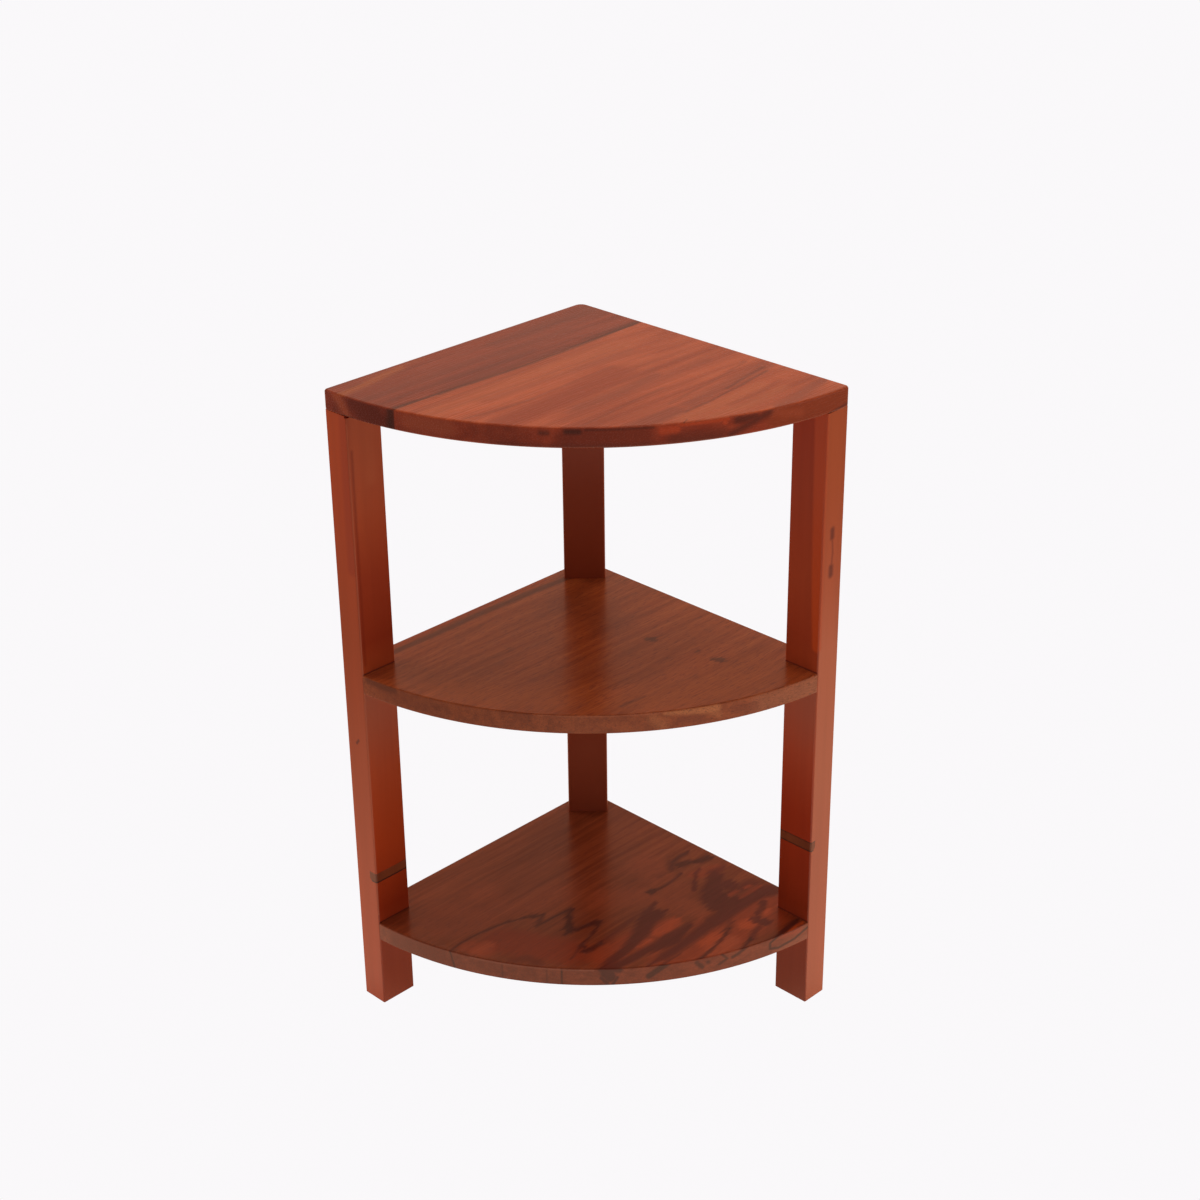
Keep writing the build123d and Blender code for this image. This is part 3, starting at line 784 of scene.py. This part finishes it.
cuts = {
    # middle of the box as (u, v), size along u and v, turn in degrees
    "rightOfSeam": ((reach / 4, seamAt + reach / 2), (reach, reach), 0.0),
    "leftOfSeam": ((reach / 4, seamAt - reach / 2), (reach, reach), 0.0),
    "leftNotch": ((notchStart["left"] + reach / 2, rack["legDepth"] - reach / 2), (reach, reach), 0.0),
    "rightNotch": ((rack["legDepth"] - reach / 2, notchStart["right"] + reach / 2), (reach, reach), 0.0),
    "backNotch": (((rack["backLegFront"] - reach / 2) * slope, (rack["backLegFront"] - reach / 2) * slope),
                  (reach, rack["backLegWidth"]), 45.0),
}


def newShapeTree(name, inputs):
    tree = bpy.data.node_groups.new(name, "GeometryNodeTree")
    for socketName, kind in inputs:
        tree.interface.new_socket(socketName, in_out="INPUT", socket_type=kind)
    tree.interface.new_socket("Geometry", in_out="OUTPUT", socket_type="NodeSocketGeometry")
    return tree, tree.nodes.new("NodeGroupInput"), tree.nodes.new("NodeGroupOutput")


def shapeNode(tree, kind, values, **settings):
    node = addNode(tree, kind, **settings)
    feed(tree, node, values)
    return node


def joinShapes(tree, *shapes):
    node = tree.nodes.new("GeometryNodeJoinGeometry")
    for shape in shapes:
        tree.links.new(shape, node.inputs["Geometry"])
    return node.outputs["Geometry"]


def endTree(tree, shape, material, made):
    real = shapeNode(tree, "GeometryNodeRealizeInstances", {"Geometry": shape})
    dressed = shapeNode(tree, "GeometryNodeSetMaterial", {
        "Geometry": real.outputs[0], "Material": material})
    tree.links.new(dressed.outputs["Geometry"], made.inputs["Geometry"])


def pointAt(tree, x, y):
    return shapeNode(tree, "ShaderNodeCombineXYZ", {"X": x, "Y": y}).outputs["Vector"]


def makePanelTree():
    # A slab with two straight sides that meet in a corner and a round front between their far ends
    floats = ("Left Side", "Right Side", "Arc Radius", "Corner Radius", "Left Tip Radius",
              "Right Tip Radius", "Underside", "Thickness")
    tree, given, made = newShapeTree(
        "quarterRoundPanel",
        [(name, "NodeSocketFloat") for name in floats] +
        [("Arc Centre", "NodeSocketVector"), ("Arc Steps", "NodeSocketInt"),
         ("Material", "NodeSocketMaterial")])
    value = given.outputs
    corner = pointAt(tree, 0.0, 0.0)
    leftTip = pointAt(tree, value["Left Side"], 0.0)
    rightTip = pointAt(tree, 0.0, value["Right Side"])
    towards = []
    for tip in (leftTip, rightTip):
        x, y = splitVector(tree, vectorNode(tree, "SUBTRACT", tip, value["Arc Centre"]))[:2]
        towards.append(mathNode(tree, "ARCTAN2", y, x))
    arc = shapeNode(tree, "GeometryNodeCurveArc", {
        "Resolution": value["Arc Steps"], "Radius": value["Arc Radius"], "Start Angle": towards[0],
        "Sweep Angle": mathNode(tree, "SUBTRACT", towards[1], towards[0])}, mode="RADIUS")
    front = shapeNode(tree, "GeometryNodeTransform", {
        "Geometry": arc.outputs["Curve"], "Translation": value["Arc Centre"]})
    leftEdge = shapeNode(tree, "GeometryNodeCurvePrimitiveLine", {"Start": leftTip, "End": corner})
    rightEdge = shapeNode(tree, "GeometryNodeCurvePrimitiveLine", {"Start": corner, "End": rightTip})
    runs = joinShapes(tree, front.outputs[0], leftEdge.outputs[0], rightEdge.outputs[0])
    wire = shapeNode(tree, "GeometryNodeCurveToMesh", {"Curve": runs})
    closed = shapeNode(tree, "GeometryNodeMergeByDistance", {
        "Geometry": wire.outputs[0], "Distance": meshing["sameCorner"]})
    loop = shapeNode(tree, "GeometryNodeMeshToCurve", {"Mesh": closed.outputs[0]})
    here = tree.nodes.new("GeometryNodeInputPosition").outputs[0]
    radius = 0.0
    roundings = ((corner, "Corner Radius"), (leftTip, "Left Tip Radius"), (rightTip, "Right Tip Radius"))
    for spot, size in roundings:
        near = mathNode(tree, "LESS_THAN", vectorNode(tree, "DISTANCE", here, spot), meshing["nearCorner"])
        radius = mathNode(tree, "MULTIPLY_ADD", near, value[size], radius)
    rounded = shapeNode(tree, "GeometryNodeFilletCurve", {
        "Curve": loop.outputs[0], "Count": meshing["roundingSteps"], "Radius": radius}, mode="POLY")
    sheet = shapeNode(tree, "GeometryNodeFillCurve", {"Curve": rounded.outputs[0]}, mode="NGONS")
    lift = shapeNode(tree, "ShaderNodeCombineXYZ", {"Z": value["Underside"]}).outputs["Vector"]
    base = shapeNode(tree, "GeometryNodeTransform", {"Geometry": sheet.outputs[0], "Translation": lift})
    rise = shapeNode(tree, "ShaderNodeCombineXYZ", {"Z": value["Thickness"]}).outputs["Vector"]
    slab = shapeNode(tree, "GeometryNodeExtrudeMesh", {
        "Mesh": base.outputs[0], "Offset": rise, "Individual": False})
    under = shapeNode(tree, "GeometryNodeFlipFaces", {"Mesh": base.outputs[0]})
    whole = shapeNode(tree, "GeometryNodeMergeByDistance", {
        "Geometry": joinShapes(tree, slab.outputs["Mesh"], under.outputs[0]),
        "Distance": meshing["samePoint"]})
    endTree(tree, whole.outputs[0], value["Material"], made)
    return tree


def makeCutTree():
    tree, given, made = newShapeTree(
        "boxCut",
        [("Geometry", "NodeSocketGeometry"), ("Middle", "NodeSocketVector"), ("Size", "NodeSocketVector"),
         ("Turn", "NodeSocketFloat"), ("Material", "NodeSocketMaterial")])
    value = given.outputs
    box = shapeNode(tree, "GeometryNodeMeshCube", {"Size": value["Size"]})
    turn = shapeNode(tree, "ShaderNodeCombineXYZ", {"Z": value["Turn"]}).outputs["Vector"]
    placed = shapeNode(tree, "GeometryNodeTransform", {
        "Geometry": box.outputs["Mesh"], "Translation": value["Middle"], "Rotation": turn})
    both = {"Mesh 1": value["Geometry"], "Mesh 2": placed.outputs[0]}
    cut = shapeNode(tree, "GeometryNodeMeshBoolean", both, operation="DIFFERENCE", solver="EXACT")
    endTree(tree, cut.outputs["Mesh"], value["Material"], made)
    return tree


def addShapeModifier(piece, tree, values):
    modifier = piece.modifiers.new(tree.name, "NODES")
    modifier.node_group = tree
    for item in tree.interface.items_tree:
        if item.item_type == "SOCKET" and item.in_out == "INPUT" and item.name in values:
            modifier[item.identifier] = values[item.name]


def bakeModifiers(piece):
    scene.view_layers[0].update()
    evaluated = piece.evaluated_get(bpy.context.evaluated_depsgraph_get())
    mesh = bpy.data.meshes.new_from_object(evaluated)
    mesh.name = piece.name
    piece.modifiers.clear()
    piece.data = mesh


def makePanel(name, spec, panelTree, cutTree):
    low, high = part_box(spec["node"])
    thickness = high[2] - low[2]
    piece = bpy.data.objects.new(name, bpy.data.meshes.new(name))
    scene.collection.objects.link(piece)
    addShapeModifier(piece, panelTree, {**panelShape, "Underside": low[2], "Thickness": thickness,
                                        "Material": spec["material"]})
    ease = piece.modifiers.new("ease", "BEVEL")
    ease.width, ease.segments, ease.limit_method = spec["ease"] * mm, meshing["easeSteps"], "ANGLE"
    ease.angle_limit = meshing["easeAngle"]
    for cutName in spec["cuts"]:
        (u, v), (width, depth), turn = cuts[cutName]
        addShapeModifier(piece, cutTree, {
            "Middle": (u * mm, v * mm, low[2] + thickness / 2),
            "Size": (width * mm, depth * mm, 3 * thickness),
            "Turn": math.radians(turn), "Material": spec["material"]})
    bakeModifiers(piece)
    mesh = piece.data
    mesh.transform(Matrix.Translation(place(0.0, 0.0)) @ Matrix.Rotation(-planTurn, 4, "Z"))
    mesh.shade_smooth()
    mesh.set_sharp_from_angle(angle=meshing["sharpAngle"])
    even = piece.modifiers.new("evenShading", "WEIGHTED_NORMAL")
    even.keep_sharp = True
    bakeModifiers(piece)
    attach(piece, "root")
    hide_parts(spec["node"])


panelTree, cutTree = makePanelTree(), makeCutTree()
for name, spec in panels.items():
    makePanel(name, spec, panelTree, cutTree)
print("panels made")


# Floor and light
studio = {
    "pale": (0.955, 0.940, 0.955),
    "floorLight": (0.63, 0.615, 0.61),
    # The floor that the varnish mirrors holds a painted shadow under the rack and a painted pool of light
    # beside it, dimmer further off
    "shadowUnderRack": (0.35, 0.16, 0.08),     # what the varnish mirrors of the floor under the rack
    "nearFloor": (1.25, 0.74, 0.48),     # beside the rack
    "farFloor": (0.48, 0.19, 0.11),      # and further off
    "mirrorSpot": (0.15, -0.15, 0.0),          # middle of the bright floor
    "nearToFar": (0.35, 1.15),                 # metres from that spot
    "underToNear": (0.16, 0.26),               # metres from the origin
    "matte": (0.05, 0.049, 0.049),
    "roomLight": (0.04, 0.039, 0.038),
    "lowWall": (0.62, 0.39, 0.29),       # what the varnish mirrors of the wall behind
    "highWall": (0.40, 0.22, 0.135),
    "lowToHigh": (0.32, 0.58),                 # the rise of the direction
}


def makeFloor():
    mesh = bpy.data.meshes.new("floor")
    size = 30.0
    corners = [(-size, -size, 0.0), (size, -size, 0.0), (size, size, 0.0), (-size, size, 0.0)]
    mesh.from_pydata(corners, [], [(0, 1, 2, 3)])
    floor = bpy.data.objects.new("floor", mesh)
    scene.collection.objects.link(floor)
    material = bpy.data.materials.new("paleFloor")
    material.use_nodes = True
    tree = material.node_tree
    tree.nodes.clear()
    path = tree.nodes.new("ShaderNodeLightPath")
    here = tree.nodes.new("ShaderNodeTexCoord").outputs["Object"]
    # Painted light on the mirrored floor: brighter beside the rack, dimmer further off, and a painted shadow
    # under the rack
    far = mapRange(tree, vectorNode(tree, "DISTANCE", here, studio["mirrorSpot"]), *studio["nearToFar"])
    mirrored = mixColour(tree, far, studio["nearFloor"], studio["farFloor"])
    under = mapRange(tree, vectorNode(tree, "LENGTH", here), *studio["underToNear"])
    mirrored = mixColour(tree, under, studio["shadowUnderRack"], mirrored)
    seen = mixColour(tree, path.outputs["Is Glossy Ray"], studio["floorLight"], mirrored)
    seen = mixColour(tree, path.outputs["Is Camera Ray"], seen, studio["pale"])
    glow = addNode(tree, "ShaderNodeEmission")
    feed(tree, glow, {"Color": seen, "Strength": 1.0})
    matte = addNode(tree, "ShaderNodeBsdfDiffuse")
    unseen = mixColour(tree, path.outputs["Is Camera Ray"], studio["matte"], (0.0, 0.0, 0.0))
    feed(tree, matte, {"Color": unseen})
    both = tree.nodes.new("ShaderNodeAddShader")
    feed(tree, both, {0: glow.outputs[0], 1: matte.outputs[0]})
    tree.links.new(both.outputs[0], tree.nodes.new("ShaderNodeOutputMaterial").inputs["Surface"])
    mesh.materials.append(material)


def makeWorld():
    world = bpy.data.worlds.new("studio")
    world.use_nodes = True
    scene.world = world
    tree = world.node_tree
    tree.nodes.clear()
    direction = tree.nodes.new("ShaderNodeTexCoord").outputs["Generated"]
    rise = mapRange(tree, splitVector(tree, direction)[2], *studio["lowToHigh"])
    mirrored = mixColour(tree, rise, studio["lowWall"], studio["highWall"])
    path = tree.nodes.new("ShaderNodeLightPath")
    seen = mixColour(tree, path.outputs["Is Glossy Ray"], studio["roomLight"], mirrored)
    seen = mixColour(tree, path.outputs["Is Camera Ray"], seen, studio["pale"])
    background = tree.nodes.new("ShaderNodeBackground")
    feed(tree, background, {"Color": seen, "Strength": 1.0})
    tree.links.new(background.outputs[0], tree.nodes.new("ShaderNodeOutputWorld").inputs["Surface"])


# Each softbox: degrees round from the front (right is positive), degrees up, distance, side, power
softboxes = {
    "leftSoftbox": (-110.0, 15.0, 2.5, 1.4, 32.0),
    "rightSoftbox": (75.0, 15.0, 2.5, 1.4, 17.0),
    "backRightSoftbox": (150.0, 15.0, 2.5, 1.4, 24.0),
    "backSoftbox": (-175.0, 15.0, 2.5, 1.4, 19.0),
    "frontFill": (40.0, 45.0, 2.5, 1.4, 4.5),
    "topSoftbox": (0.0, 89.9, 2.5, 1.6, 23.0),
}
lightTarget = Vector((0.0, 0.0, 0.35))


def makeLights():
    for name, (around, up, distance, side, power) in softboxes.items():
        data = bpy.data.lights.new(name, "AREA")
        data.shape, data.size, data.energy = "SQUARE", side, power
        lamp = bpy.data.objects.new(name, data)
        scene.collection.objects.link(lamp)
        turn, rise = math.radians(around), math.radians(up)
        level = math.cos(rise)
        towards = Vector((math.sin(turn) * level, -math.cos(turn) * level, math.sin(rise)))
        lamp.location = lightTarget + distance * towards
        lamp.rotation_euler = (-towards).to_track_quat("-Z", "Y").to_euler()
        lamp.visible_camera = lamp.visible_glossy = False


makeFloor()
makeWorld()
makeLights()
scene.view_settings.view_transform = "Standard"
print("floor and lights set")
